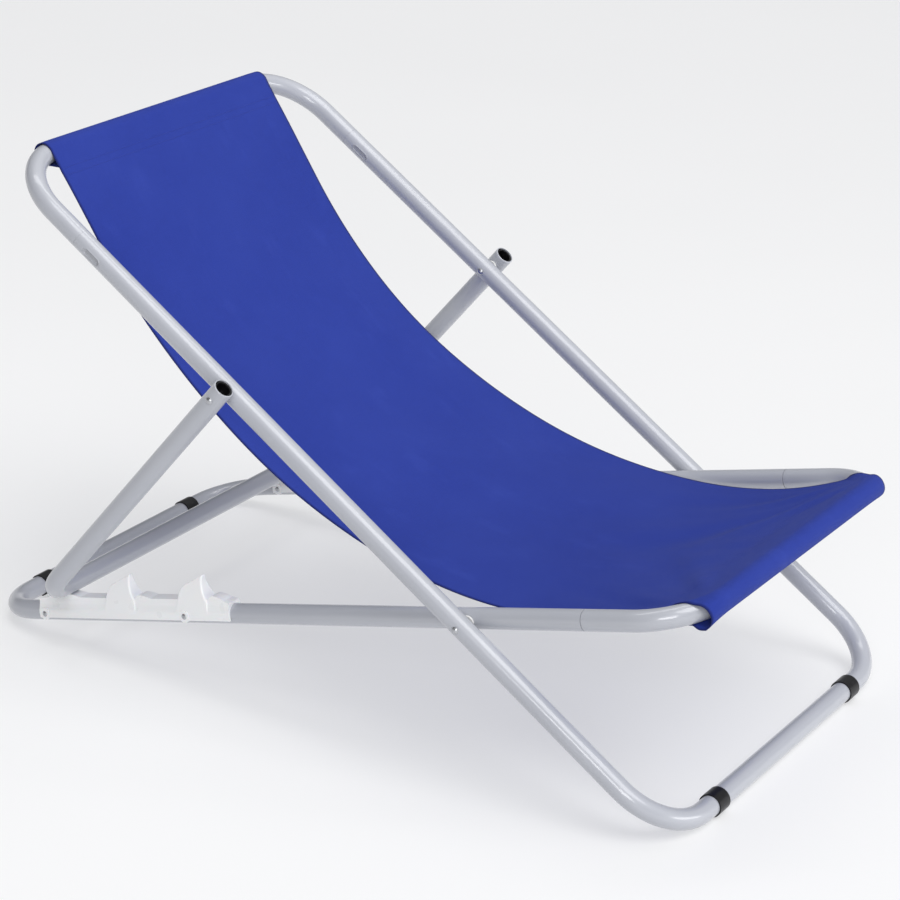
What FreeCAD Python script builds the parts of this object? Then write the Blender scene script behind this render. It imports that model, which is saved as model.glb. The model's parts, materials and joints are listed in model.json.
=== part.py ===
"""Folding beach chair: steel tube frames, plastic notch racks and a canvas sling.

Millimetres. X runs across the chair (the sitter's left is +X), the front of the
chair is -Y and +Z is up. The origin is the middle of the footprint, on the floor.

The chair has three flat frames of bent tube that nest inside one another:
the base frame (rear floor bar up to the seat bar), the back frame outside it
(front floor bar up to the head bar) and the prop frame outside that. Each frame
is built lying in its own XY plane and then tilted about X into place.
"""
import FreeCAD, Part
import math
import os

from FreeCAD import Vector, Placement, Rotation

os.makedirs("parts", exist_ok=True)

# ---------------------------------------------------------------- dimensions
# Tube
TUBE_R = 11.0               # 22 mm outside diameter
TUBE_WALL = 1.2
BORE_R = TUBE_R - TUBE_WALL
FRAME_GAP = 2.5             # air between two nested frames

# Foot clips that carry the floor bars
CLIP_WALL = 1.5
CLIP_FIT = 0.05
CLIP_LENGTH = 20.0
CLIP_LAND = 8.0             # width of the flat that stands on the floor
CLIP_SLOT = 5.0             # the snap-on slot on the inner side of the band
FLOOR_BAR_Z = TUBE_R + CLIP_WALL
FRONT_CLIP_X = 150.0
REAR_CLIP_X = 132.0

# Stance: the distance between the two floor bars
STANCE = 880.0
FRONT_BAR_Y = -STANCE / 2
REAR_BAR_Y = STANCE / 2

# Base frame, inside: rear floor bar up to the seat bar
BASE_X = 218.0              # centre of each side tube
BASE_LENGTH = 906.0         # floor bar centre to seat bar centre
BASE_TILT = 14.25
BASE_REAR_BEND = 62.0
SEAT_BEND = 66.0
SEAT_SEAM = 118.0           # from the seat bar back to the joint in the side tube

# Back frame, between: front floor bar up to the head bar
BACK_X = BASE_X + 2 * TUBE_R + FRAME_GAP
BACK_LENGTH = 970.0
BACK_TILT = 33.6
BACK_FLOOR_BEND = 68.0
HEAD_BEND = 70.0
BACK_SEAM = 112.0           # from the head bar down to the joint in the side tube
DIMPLE_FROM_HEAD = 137.0    # the pressed dimples that lock that joint
DIMPLE_LENGTH = 27.0
DIMPLE_R = 7.0
DIMPLE_DEPTH = 0.8

# Swaged joints: the end of one tube is reduced and pushed into the other
SPIGOT_R = BORE_R - 0.1
SPIGOT_LENGTH = 50.0
SEAT_SEAM_GAP = 0.8         # the open line at the seat joints
BACK_SEAM_GAP = 0.15        # the back joints are pushed home

# Prop frame, outside
PROP_X = BACK_X + 2 * TUBE_R + FRAME_GAP
PROP_BEND = 45.0
PROP_PIVOT_FROM_FLOOR_BAR = 630.0
PROP_TAIL = 17.0            # how far each arm runs on past its pivot
RIM_ROUND = 0.9
PLUG_DEPTH = 14.0
PLUG_RECESS = 1.5

# Racks on the base side tubes; places along the tube are from the rear floor bar
RACK_START = 80.0
RACK_END = 352.0
NOTCH_PITCH = 102.0
FIRST_FACE = 114.0          # where the first notch's rear face stands
RACK_WALL = 2.2
RACK_FLANGE = 4.5           # how far the flanges reach below the tube centre
RACK_FIT = 0.1
RAIL_TOP = 17.8             # top of the rail above the tube centre
FIN_TOP = 43.5
SEAT_TOP = 21.2             # the seat lip that the crossbar lies on
STUB_TOP = 21.6             # the first fin, kept below the crossbar's way out
RACK_RIVETS = (88.0, 290.0)
BOSS_R = 6.8                # round bosses under the rivets
BOSS_RISE = 0.5
FIN_ROUND = 2.0             # rounding of a fin's front corners
RIM_SOFT = 0.5              # rounding of its other edges
RACK_OUTER_R = TUBE_R + RACK_FIT + RACK_WALL
CROSSBAR_FROM_FACE = 11.3
CROSSBAR_AIR = 0.2

# Rivets and spacers
RIVET_R = 2.5
RIVET_FIT = 0.05
HEAD_R = 4.0
HEAD_RISE = 2.0
HEAD_AIR = 0.1
SPACER_R = 7.0
RACK_RIVET_R = 1.6
RACK_HEAD_R = 3.2
RACK_HEAD_RISE = 1.2

# Canvas sling
CANVAS = 1.2
SLEEVE_AIR = 0.3
SLEEVE_R = TUBE_R + SLEEVE_AIR
HEAD_SLEEVE_ANGLE = 14.0    # how far each sleeve runs round the corner bend
SEAT_SLEEVE_ANGLE = 36.0
SLING_HEAD_ANGLE = 55.0     # slope of the sling where it leaves the head bar
SLING_SEAT_ANGLE = 26.0     # slope where it leaves the seat bar
SLING_LOW_Y = -220.0        # lowest line of the sling
SLING_LOW_Z = 186.5
SLING_HEAD_HALF = 190.0     # half widths of the sling
SLING_WAIST_HALF = 187.0
SLING_WAIST_Y = 140.0
SLING_SEAT_HALF = 203.0
CORNER_CLEAR = 9.0          # the panel ends this far inside the frame's centre line
SLING_SPLIT = 0.4           # between the seat half and the back half, over the frame pivot


# ------------------------------------------------------------ derived places
def along(origin, tilt, distance, rise=0.0):
    """The (y, z) point at a distance along a frame and a rise square to it."""
    c = math.cos(math.radians(tilt))
    s = math.sin(math.radians(tilt))
    return (origin[0] + distance * c - rise * s, origin[1] + distance * s + rise * c)


REAR_BAR = (REAR_BAR_Y, FLOOR_BAR_Z)
FRONT_BAR = (FRONT_BAR_Y, FLOOR_BAR_Z)
HEAD_BAR = along(FRONT_BAR, BACK_TILT, BACK_LENGTH)
SEAT_BAR = along(REAR_BAR, -BASE_TILT, -BASE_LENGTH)

# The base and back frames cross at the frame pivot.
PIVOT_Z_ABOVE_BARS = STANCE / (1 / math.tan(math.radians(BACK_TILT)) + 1 / math.tan(math.radians(BASE_TILT)))
PIVOT_ALONG_BACK = PIVOT_Z_ABOVE_BARS / math.sin(math.radians(BACK_TILT))
PIVOT_ALONG_BASE = PIVOT_Z_ABOVE_BARS / math.sin(math.radians(BASE_TILT))
FRAME_PIVOT = along(FRONT_BAR, BACK_TILT, PIVOT_ALONG_BACK)

PROP_PIVOT = along(FRONT_BAR, BACK_TILT, PROP_PIVOT_FROM_FLOOR_BAR)
CROSSBAR_ALONG = FIRST_FACE + CROSSBAR_FROM_FACE
CROSSBAR = along(REAR_BAR, -BASE_TILT, -CROSSBAR_ALONG, SEAT_TOP + TUBE_R + CROSSBAR_AIR)
PROP_LENGTH = math.dist(PROP_PIVOT, CROSSBAR)
PROP_TILT = math.degrees(math.atan2(CROSSBAR[1] - PROP_PIVOT[1], CROSSBAR[0] - PROP_PIVOT[0]))

SIDES = {"left": 1, "right": -1}
X_AXIS = Vector(1, 0, 0)
Z_AXIS = Vector(0, 0, 1)


# ------------------------------------------------------------------- helpers
def tilt(shape, origin, degrees):
    """Turn a shape built flat about X, and move its own origin to (y, z)."""
    placed = shape.copy()
    move = Placement(Vector(0, origin[0], origin[1]), Rotation(X_AXIS, degrees))
    placed.Placement = move.multiply(placed.Placement)
    return placed


def in_base(shape):
    """The base frame lies with its rear floor bar on X and its tubes along -Y."""
    return tilt(shape, REAR_BAR, -BASE_TILT)


def in_back(shape):
    """The back frame lies with its front floor bar on X and its tubes along +Y."""
    return tilt(shape, FRONT_BAR, BACK_TILT)


def in_prop(shape):
    """The prop frame lies with its pivots on X and its arms along +Y."""
    return tilt(shape, PROP_PIVOT, PROP_TILT)


def fused(shapes):
    whole = shapes[0].multiFuse(shapes[1:]) if len(shapes) > 1 else shapes[0]
    return whole.removeSplitter()


def rod(points, bend_radius, radius):
    """A round rod through points of the XY plane, with tangent bends at the corners."""
    pieces = []
    start = points[0]
    for i in range(1, len(points)):
        corner = points[i]
        heading = (corner - start).normalize()
        if i == len(points) - 1:
            pieces.append(Part.makeCylinder(radius, (corner - start).Length, start, heading))
            break
        leaving = (points[i + 1] - corner).normalize()
        turn = heading.getAngle(leaving)
        setback = bend_radius * math.tan(turn / 2)
        bend_start = corner - heading * setback
        pieces.append(Part.makeCylinder(radius, (bend_start - start).Length, start, heading))
        side = heading.cross(leaving)
        axis = Z_AXIS if side.z > 0 else -Z_AXIS
        centre = bend_start + axis.cross(heading) * bend_radius
        disc = Part.Face(Part.Wire(Part.makeCircle(radius, bend_start, heading)))
        pieces.append(disc.revolve(centre, axis, math.degrees(turn)))
        start = corner + leaving * setback
    return fused(pieces)


def lengthened(points, extra):
    """The same path with both ends run on by extra, so that a bore is open."""
    first = points[0] + (points[0] - points[1]).normalize() * extra
    last = points[-1] + (points[-1] - points[-2]).normalize() * extra
    return [first] + points[1:-1] + [last]


def bent_tube(points, bend_radius):
    outside = rod(points, bend_radius, TUBE_R)
    bore = rod(lengthened(points, 5.0), bend_radius, BORE_R)
    return outside.cut(bore)


def u_points(half_width, open_y, bar_y):
    """A U lying flat: two arms along Y from open_y to the bar at bar_y."""
    return [
        Vector(-half_width, open_y, 0),
        Vector(-half_width, bar_y, 0),
        Vector(half_width, bar_y, 0),
        Vector(half_width, open_y, 0),
    ]


def spigot(half_width, end_y, direction, side):
    """A reduced tube end that starts inside the U's own arm."""
    root = 3.0
    start = Vector(side * half_width, end_y - direction * root, 0)
    heading = Vector(0, direction, 0)
    outside = Part.makeCylinder(SPIGOT_R, SPIGOT_LENGTH + root, start, heading)
    bore = Part.makeCylinder(SPIGOT_R - TUBE_WALL, SPIGOT_LENGTH + root + 2, start - heading, heading)
    return outside.cut(bore)


def shoulder(half_width, end_y, direction, side):
    """The web that steps the tube wall in to the spigot."""
    length = 3.0
    start = Vector(side * half_width, end_y - direction * length, 0)
    heading = Vector(0, direction, 0)
    outside = Part.makeCylinder(TUBE_R - 0.2, length, start, heading)
    bore = Part.makeCylinder(SPIGOT_R - TUBE_WALL, length, start, heading)
    return outside.cut(bore)


def cross_hole(y, z, radius, x_from, x_to):
    return Part.makeCylinder(radius, abs(x_to - x_from), Vector(min(x_from, x_to), y, z), X_AXIS)


def dome(centre_x, y, z, radius, rise, outward):
    """A low domed rivet head whose flat side faces inward along X."""
    ball_r = (radius * radius + rise * rise) / (2 * rise)
    ball = Part.makeSphere(ball_r, Vector(centre_x + outward * (rise - ball_r), y, z))
    keep = Part.makeCylinder(radius + 1, rise + 1, Vector(centre_x, y, z), Vector(outward, 0, 0))
    return ball.common(keep)


def rivet(y, z, x_inner, x_outer, side, shank_r, head_r, rise):
    """A rivet along X between two faces, with a dome on each end."""
    low = x_inner - HEAD_AIR
    high = x_outer + HEAD_AIR
    shank = cross_hole(y, z, shank_r, side * low, side * high)
    outer = dome(side * high, y, z, head_r, rise, side)
    inner = dome(side * low, y, z, head_r, rise, -side)
    return fused([shank, outer, inner])


def spacer(y, z, x_inner, x_outer, side):
    """A round spacer between two tubes, a running fit on its rivet."""
    air = 0.1
    disc = cross_hole(y, z, SPACER_R, side * (x_inner + air), side * (x_outer - air))
    hole = cross_hole(y, z, RIVET_R + RIVET_FIT, side * x_inner, side * x_outer)
    return disc.cut(hole)


def foot_clip(x, bar):
    """A snap-on band round a floor bar, with a flat under it to stand on."""
    y, z = bar
    left = x - CLIP_LENGTH / 2
    band = Part.makeCylinder(TUBE_R + CLIP_WALL, CLIP_LENGTH, Vector(left, y, z), X_AXIS)
    land = Part.makeBox(CLIP_LENGTH, CLIP_LAND, CLIP_WALL, Vector(left, y - CLIP_LAND / 2, 0))
    bar_space = Part.makeCylinder(TUBE_R + CLIP_FIT, CLIP_LENGTH + 2, Vector(left - 1, y, z), X_AXIS)
    inward = -1 if y > 0 else 1
    slot = Part.makeBox(CLIP_LENGTH + 2, 2 * TUBE_R, CLIP_SLOT)
    slot.translate(Vector(left - 1, y if inward > 0 else y - 2 * TUBE_R, z - CLIP_SLOT / 2))
    return band.fuse(land).cut(bar_space).cut(slot).removeSplitter()


def exported(name, shape):
    if not shape.isValid():
        raise ValueError(name + " is not a valid shape")
    shape.exportStep("parts/" + name + ".step")
    print(f"{name:24s} solids {len(shape.Solids)}  volume {shape.Volume / 1000:9.2f} cm3")


# ---------------------------------------------------------------- base frame
def base_holes(side):
    """Holes through one base side tube: the frame pivot and the rack rivets."""
    through = (side * (BASE_X - TUBE_R - 3), side * (BASE_X + TUBE_R + 3))
    holes = [cross_hole(-PIVOT_ALONG_BASE, 0, RIVET_R + RIVET_FIT, *through)]
    for place in RACK_RIVETS:
        holes.append(cross_hole(-place, 0, RACK_RIVET_R + RIVET_FIT, *through))
    return holes


def base_rear_tube():
    seam_y = -(BASE_LENGTH - SEAT_SEAM)
    tube = bent_tube(u_points(BASE_X, seam_y, 0), BASE_REAR_BEND)
    for side in SIDES.values():
        tube = tube.cut(base_holes(side))
    return in_base(tube)


def seat_front_tube():
    seam_y = -(BASE_LENGTH - SEAT_SEAM) - SEAT_SEAM_GAP
    tube = bent_tube(u_points(BASE_X, seam_y, -BASE_LENGTH), SEAT_BEND)
    for side in SIDES.values():
        tube = fused([tube, shoulder(BASE_X, seam_y, 1, side), spigot(BASE_X, seam_y, 1, side)])
    return in_base(tube)


# ---------------------------------------------------------------- back frame
def dimple(side, face):
    """An oblong press mark on one face of a back side tube."""
    x = side * BACK_X + face * (TUBE_R + DIMPLE_R - DIMPLE_DEPTH)
    reach = DIMPLE_LENGTH / 2 - math.sqrt(DIMPLE_R ** 2 - (DIMPLE_R - DIMPLE_DEPTH) ** 2)
    y = BACK_LENGTH - DIMPLE_FROM_HEAD
    tool = Part.makeCylinder(DIMPLE_R, 2 * reach, Vector(x, y - reach, 0), Vector(0, 1, 0))
    ends = [Part.makeSphere(DIMPLE_R, Vector(x, y + k * reach, 0)) for k in (-1, 1)]
    return fused([tool] + ends)


def back_lower_tube():
    seam_y = BACK_LENGTH - BACK_SEAM
    tube = bent_tube(u_points(BACK_X, seam_y, 0), BACK_FLOOR_BEND)
    for side in SIDES.values():
        through = (side * (BACK_X - TUBE_R - 3), side * (BACK_X + TUBE_R + 3))
        for place in (PIVOT_ALONG_BACK, PROP_PIVOT_FROM_FLOOR_BAR):
            tube = tube.cut(cross_hole(place, 0, RIVET_R + RIVET_FIT, *through))
        for face in (-1, 1):
            tube = tube.cut(dimple(side, face))
    return in_back(tube)


def back_top_tube():
    seam_y = BACK_LENGTH - BACK_SEAM + BACK_SEAM_GAP
    tube = bent_tube(u_points(BACK_X, seam_y, BACK_LENGTH), HEAD_BEND)
    for side in SIDES.values():
        tube = fused([tube, shoulder(BACK_X, seam_y, -1, side), spigot(BACK_X, seam_y, -1, side)])
    return in_back(tube)


# ---------------------------------------------------------------- prop frame
def prop_tube():
    tube = bent_tube(u_points(PROP_X, -PROP_TAIL, PROP_LENGTH), PROP_BEND)
    rims = [e for e in tube.Edges if e.Length > 6 * TUBE_R and e.BoundBox.YLength < 0.1
            and abs(e.BoundBox.YMin + PROP_TAIL) < 0.1]
    tube = tube.makeFillet(RIM_ROUND, rims)
    for side in SIDES.values():
        through = (side * (PROP_X - TUBE_R - 3), side * (PROP_X + TUBE_R + 3))
        tube = tube.cut(cross_hole(0, 0, RIVET_R + RIVET_FIT, *through))
    return in_prop(tube)


def prop_end_plug(side):
    """A black plug pressed into an arm's open end, short of its rivet."""
    air = 0.05
    heading = Vector(0, 1, 0)
    start = Vector(side * PROP_X, -PROP_TAIL + PLUG_RECESS, 0)
    length = min(PLUG_DEPTH, PROP_TAIL - PLUG_RECESS - RIVET_R - 1)
    body = Part.makeCylinder(BORE_R - air, length, start, heading)
    dish_r = BORE_R - 2.2
    dish = Part.makeCylinder(dish_r, length - 2.5, start - heading * 0.5, heading)
    return in_prop(body.cut(dish))


# --------------------------------------------------------------------- racks
def at(place, height, x=0.0):
    """A point on the rack: its place along the tube and its height above the axis."""
    return Vector(x, -place, height)


def outline_face(start, steps):
    """A face in the YZ plane from a start point and (through, to) or (to,) steps."""
    edges = []
    here = start
    for step in steps:
        if len(step) == 2:
            edges.append(Part.Arc(here, step[0], step[1]).toShape())
        else:
            edges.append(Part.LineSegment(here, step[0]).toShape())
        here = step[-1]
    edges.append(Part.LineSegment(here, start).toShape())
    return Part.Face(Part.Wire(edges))


def mirrored_face(points, place):
    """A cross-section face: half its outline, and the same half mirrored in X."""
    right = [Vector(x, -place, z) for x, z in points]
    left = [Vector(-x, -place, z) for x, z in reversed(points)]
    return Part.Face(Part.makePolygon(right + left + [right[0]]))


def across_rack(face):
    """A side outline as a slab over the rack's full width."""
    span = 2 * (RACK_OUTER_R + 2)
    slab = face.copy()
    slab.translate(Vector(-span / 2, 0, 0))
    return slab.extrude(Vector(span, 0, 0))


def ridge():
    """The rail along the saddle's top, with a seat lip and a groove in front of each fin."""
    groove = RAIL_TOP - 0.3
    steps = [(at(FIRST_FACE - 20, RAIL_TOP),),
             # The first fin is a low ramp, because the crossbar leaves over it.
             (at(FIRST_FACE - 10, STUB_TOP - 0.6), at(FIRST_FACE - 3, STUB_TOP)),
             (at(FIRST_FACE + 1.0, STUB_TOP - 1.0), at(FIRST_FACE + 3.5, groove))]
    for notch in range(3):
        face = FIRST_FACE + notch * NOTCH_PITCH
        lip = face + CROSSBAR_FROM_FACE
        if notch > 0:
            steps.append((at(face + 3.5, groove),))
        steps.append((at(face + 6.6, SEAT_TOP - 1.4), at(lip, SEAT_TOP)))
        end = RAIL_TOP if notch < 2 else 16.2
        steps.append((at(lip + 6, SEAT_TOP - 0.9), at(lip + 15, end)))
    steps.append((at(RACK_END, RACK_OUTER_R + 0.6),))
    steps.append((at(RACK_END, 0),))
    steps.append((at(RACK_START, 0),))
    slab = across_rack(outline_face(at(RACK_START, RAIL_TOP - 2.0), steps))
    section = mirrored_face([(12.4, 0), (12.4, 4.5), (9.8, 10.5), (8.0, 16.0), (6.0, SEAT_TOP + 4)], RACK_START - 5)
    return slab.common(section.extrude(Vector(0, -(RACK_END - RACK_START + 10), 0)))


def fin(face):
    """One fin: hollow in front, sloped behind, wide at its foot and thin at its tip."""
    steps = [(at(face - 33.0, FIN_TOP - 19), at(face - 25.5, FIN_TOP - 10.5)),
             (at(face + 0.2, FIN_TOP),),
             (at(face - 1.0, FIN_TOP - 12), at(face + 3.5, RAIL_TOP - 0.5)),
             (at(face + 5.0, 2.0),),
             (at(face - 40, 2.0),)]
    slab = across_rack(outline_face(at(face - 36, RAIL_TOP - 4), steps))
    foot = at(face - 45, 2.0, RACK_OUTER_R)
    waist = at(face - 45, 19.0, 9.4)
    tip = at(face - 45, FIN_TOP + 1, 3.0)
    side = Part.Arc(foot, waist, tip).toShape()
    other = side.mirror(Vector(0, 0, 0), X_AXIS)
    across_top = Part.makeLine(tip, at(face - 45, tip.z, -tip.x))
    across_foot = Part.makeLine(at(face - 45, foot.z, -foot.x), foot)
    section = Part.Face(Part.Wire(Part.__sortEdges__([side, across_top, other, across_foot])))
    blade = slab.common(section.extrude(Vector(0, -60, 0)))
    front = [e for e in blade.Edges if e.BoundBox.ZLength > 20 and e.BoundBox.XLength > 1
             and -e.BoundBox.YMax > face - 5]
    blade = rounded(blade, front, FIN_ROUND)
    others = [e for e in blade.Edges if e.BoundBox.ZMax > RAIL_TOP + 2 and e.BoundBox.YLength > 4
              and -e.BoundBox.YMin < face + 1.5]
    return rounded(blade, others, RIM_SOFT)


def rounded(shape, edges, radius):
    """Fillets all the given edges, or as many as hold a fillet together."""
    if not edges:
        return shape
    try:
        smooth = shape.makeFillet(radius, edges)
        if smooth.isValid() and len(smooth.Solids) == 1:
            return smooth
    except Exception:
        pass
    print("    no fillet of", radius, "on", len(edges), "edges")
    return shape


def saddle():
    """The half sleeve on the tube: round above, with a straight flange on each side."""
    length = RACK_END - RACK_START
    start = Vector(0, -RACK_START, 0)
    top = Part.makeCylinder(RACK_OUTER_R, length, start, Vector(0, -1, 0), 360)
    flanges = Part.makeBox(2 * RACK_OUTER_R, length, RACK_FLANGE, Vector(-RACK_OUTER_R, -RACK_END, -RACK_FLANGE))
    below = Part.makeBox(4 * RACK_OUTER_R, length, RACK_OUTER_R,
                         Vector(-2 * RACK_OUTER_R, -RACK_END, -RACK_FLANGE - RACK_OUTER_R))
    return top.fuse(flanges).cut(below)


def rack():
    parts = [saddle(), ridge()]
    for notch in (1, 2):
        parts.append(fin(FIRST_FACE + notch * NOTCH_PITCH))
    boss_reach = RACK_OUTER_R + BOSS_RISE
    for place in RACK_RIVETS:
        parts.append(cross_hole(-place, 0, BOSS_R, -boss_reach, boss_reach))
    body = parts[0].multiFuse(parts[1:])
    slot_half = TUBE_R + RACK_FIT
    tube_space = Part.makeCylinder(slot_half, RACK_END, Vector(0, 0, 0), Vector(0, -1, 0))
    under = Part.makeBox(2 * slot_half, RACK_END, 2 * TUBE_R, Vector(-slot_half, -RACK_END, -2 * TUBE_R))
    body = body.cut(tube_space).cut(under)
    for place in RACK_RIVETS:
        body = body.cut(cross_hole(-place, 0, RACK_RIVET_R + RIVET_FIT, -boss_reach - 1, boss_reach + 1))
    return body.removeSplitter()


def placed_rack(side):
    shape = rack()
    shape.translate(Vector(side * BASE_X, 0, 0))
    return in_base(shape)


def rack_rivets(side):
    """The two rivets of one rack: a shank through the tube and a dimpled head each side."""
    reach = RACK_OUTER_R + BOSS_RISE
    pair = []
    for place in RACK_RIVETS:
        shape = rivet(-place, 0, BASE_X - reach, BASE_X + reach, side,
                      RACK_RIVET_R, RACK_HEAD_R, RACK_HEAD_RISE)
        for face in (-1, 1):
            centre = side * BASE_X + face * (reach + HEAD_AIR + RACK_HEAD_RISE + RACK_HEAD_R * 0.45)
            shape = shape.cut(Part.makeSphere(RACK_HEAD_R * 0.62, Vector(centre, -place, 0)))
        pair.append(in_base(shape))
    return Part.makeCompound(pair)


# -------------------------------------------------------------------- pivots
def frame_pivot_rivet(side):
    return rivet(FRAME_PIVOT[0], FRAME_PIVOT[1], BASE_X - TUBE_R, BACK_X + TUBE_R, side,
                 RIVET_R, HEAD_R, HEAD_RISE)


def frame_pivot_spacer(side):
    return spacer(FRAME_PIVOT[0], FRAME_PIVOT[1], BASE_X + TUBE_R, BACK_X - TUBE_R, side)


def prop_pivot_rivet(side):
    return rivet(PROP_PIVOT[0], PROP_PIVOT[1], BACK_X - TUBE_R, PROP_X + TUBE_R, side,
                 RIVET_R, HEAD_R, HEAD_RISE)


def prop_pivot_spacer(side):
    return spacer(PROP_PIVOT[0], PROP_PIVOT[1], BACK_X + TUBE_R, PROP_X - TUBE_R, side)


# --------------------------------------------------------------------- sling
def sleeve(half_width, bar_y, bend_radius, angle):
    """The sewn sleeve round a bar, lying flat: straight, then round each bend."""
    straight = half_width - bend_radius
    inward = -1 if bar_y > 0 else 1
    walls = []
    for radius in (SLEEVE_R + CANVAS, SLEEVE_R):
        pieces = [Part.makeCylinder(radius, 2 * straight, Vector(-straight, bar_y, 0), X_AXIS)]
        for side in (-1, 1):
            end = Vector(side * straight, bar_y, 0)
            centre = end + Vector(0, inward * bend_radius, 0)
            disc = Part.Face(Part.Wire(Part.makeCircle(radius, end, X_AXIS)))
            pieces.append(disc.revolve(centre, Z_AXIS * (side * inward), angle))
        walls.append(fused(pieces))
    return walls[0].cut(walls[1])


def sling_run(low, radius, angle, toward):
    """One side line of the sling: level at its low point, an arc, then straight."""
    a = math.radians(angle)
    top = Vector(0, low[0] + toward * radius * math.sin(a), low[1] + radius * (1 - math.cos(a)))
    half = Vector(0, low[0] + toward * radius * math.sin(a / 2), low[1] + radius * (1 - math.cos(a / 2)))
    return half, top


def sling_radius(low, touch, angle, toward):
    """The arc radius that brings the straight run to the bar at its own slope."""
    a = math.radians(angle)
    across = toward * (touch[0] - low[0])
    up = touch[1] - low[1]
    return (across * math.tan(a) - up) / (math.sin(a) * math.tan(a) - (1 - math.cos(a)))


def sling_band(bar, angle, toward, cut_y):
    """The panel from its low line to a bar, as a thick band along all of X."""
    a = math.radians(angle)
    normal = Vector(0, -toward * math.sin(a), math.cos(a))
    touch_r = SLEEVE_R + CANVAS / 2
    touch = (bar[0] + touch_r * normal.y, bar[1] + touch_r * normal.z)
    low = (SLING_LOW_Y, SLING_LOW_Z)
    radius = sling_radius(low, touch, angle, toward)
    faces = []
    for shift in (CANVAS / 2, -CANVAS / 2):
        low_here = (low[0], low[1] + shift)
        half, top = sling_run(low_here, radius - shift, angle, toward)
        end = Vector(0, touch[0], touch[1]) + normal * shift
        faces.append((Vector(0, low_here[0], low_here[1]), half, top, end))
    upper, lower = faces
    edges = [
        Part.Arc(upper[0], upper[1], upper[2]).toShape(),
        Part.LineSegment(upper[2], upper[3]).toShape(),
        Part.LineSegment(upper[3], lower[3]).toShape(),
        Part.LineSegment(lower[3], lower[2]).toShape(),
        Part.Arc(lower[2], lower[1], lower[0]).toShape(),
        Part.LineSegment(lower[0], upper[0]).toShape(),
    ]
    wide = 2 * SLING_SEAT_HALF
    face = Part.Face(Part.Wire(edges))
    face.translate(Vector(-wide / 2, 0, 0))
    return face.extrude(Vector(wide, 0, 0))


def plan(points):
    """A plan outline, extruded through the height of the chair."""
    wire = Part.makePolygon([Vector(x, y, 0) for x, y in points + [points[0]]])
    return Part.Face(wire).extrude(Vector(0, 0, 700))


def inside_loop(half_width, bar_y, bend_radius):
    """The flat area inside a frame's bar and corner bends, as a tall prism."""
    inward = -1 if bar_y > 0 else 1
    r = bend_radius - CORNER_CLEAR
    x = half_width - bend_radius
    reach = bar_y + inward * 600
    near = bar_y + inward * CORNER_CLEAR
    centre_y = bar_y + inward * bend_radius
    diagonal = r * math.sqrt(0.5)
    edges = [Part.makeLine(Vector(-x, near, 0), Vector(x, near, 0))]
    edges.append(Part.Arc(Vector(x, near, 0), Vector(x + diagonal, centre_y - inward * diagonal, 0),
                          Vector(x + r, centre_y, 0)).toShape())
    edges.append(Part.makeLine(Vector(x + r, centre_y, 0), Vector(x + r, reach, 0)))
    edges.append(Part.makeLine(Vector(x + r, reach, 0), Vector(-x - r, reach, 0)))
    edges.append(Part.makeLine(Vector(-x - r, reach, 0), Vector(-x - r, centre_y, 0)))
    edges.append(Part.Arc(Vector(-x - r, centre_y, 0), Vector(-x - diagonal, centre_y - inward * diagonal, 0),
                          Vector(-x, near, 0)).toShape())
    prism = Part.Face(Part.Wire(edges)).extrude(Vector(0, 0, 400))
    prism.translate(Vector(0, 0, -300))
    bar = Part.makeBox(2 * x, 2 * CORNER_CLEAR, 400, Vector(-x, bar_y - CORNER_CLEAR, -300))
    return prism.fuse(bar)


def sling_back():
    """The sling from the frame pivot up to the head bar, with the head sleeve."""
    band = sling_band(HEAD_BAR, SLING_HEAD_ANGLE, 1, FRAME_PIVOT[0])
    outline = plan([
        (-SLING_SEAT_HALF, FRAME_PIVOT[0]), (SLING_SEAT_HALF, FRAME_PIVOT[0]),
        (SLING_WAIST_HALF, SLING_WAIST_Y), (SLING_HEAD_HALF, HEAD_BAR[0]),
        (-SLING_HEAD_HALF, HEAD_BAR[0]), (-SLING_WAIST_HALF, SLING_WAIST_Y),
    ])
    panel = band.common(outline)
    corner = in_back(inside_loop(BACK_X, BACK_LENGTH, HEAD_BEND))
    lower = plan([(-300, FRAME_PIVOT[0] - 50), (300, FRAME_PIVOT[0] - 50), (300, 200), (-300, 200)])
    panel = panel.common(corner.fuse(lower))
    tube = in_back(sleeve(BACK_X, BACK_LENGTH, HEAD_BEND, HEAD_SLEEVE_ANGLE))
    bar = in_back(rod(u_points(BACK_X, BACK_LENGTH - 200, BACK_LENGTH), HEAD_BEND, SLEEVE_R))
    return panel.cut(bar).fuse(tube).removeSplitter()


def sling_seat():
    """The sling from the seat bar back to the frame pivot, with the seat sleeve."""
    front = sling_band(SEAT_BAR, SLING_SEAT_ANGLE, -1, FRAME_PIVOT[0])
    rear = sling_band(HEAD_BAR, SLING_HEAD_ANGLE, 1, FRAME_PIVOT[0])
    rear = rear.common(plan([(-300, SLING_LOW_Y), (300, SLING_LOW_Y),
                             (300, FRAME_PIVOT[0]), (-300, FRAME_PIVOT[0])]))
    panel = front.fuse(rear).removeSplitter()
    corner = in_base(inside_loop(BASE_X, -BASE_LENGTH, SEAT_BEND))
    seat_end = FRAME_PIVOT[0] - SLING_SPLIT
    panel = panel.common(corner).common(plan([(-300, -500), (300, -500), (300, seat_end), (-300, seat_end)]))
    tube = in_base(sleeve(BASE_X, -BASE_LENGTH, SEAT_BEND, SEAT_SLEEVE_ANGLE))
    bar = in_base(rod(u_points(BASE_X, -BASE_LENGTH + 200, -BASE_LENGTH), SEAT_BEND, SLEEVE_R))
    return panel.cut(bar).fuse(tube).removeSplitter()


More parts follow.
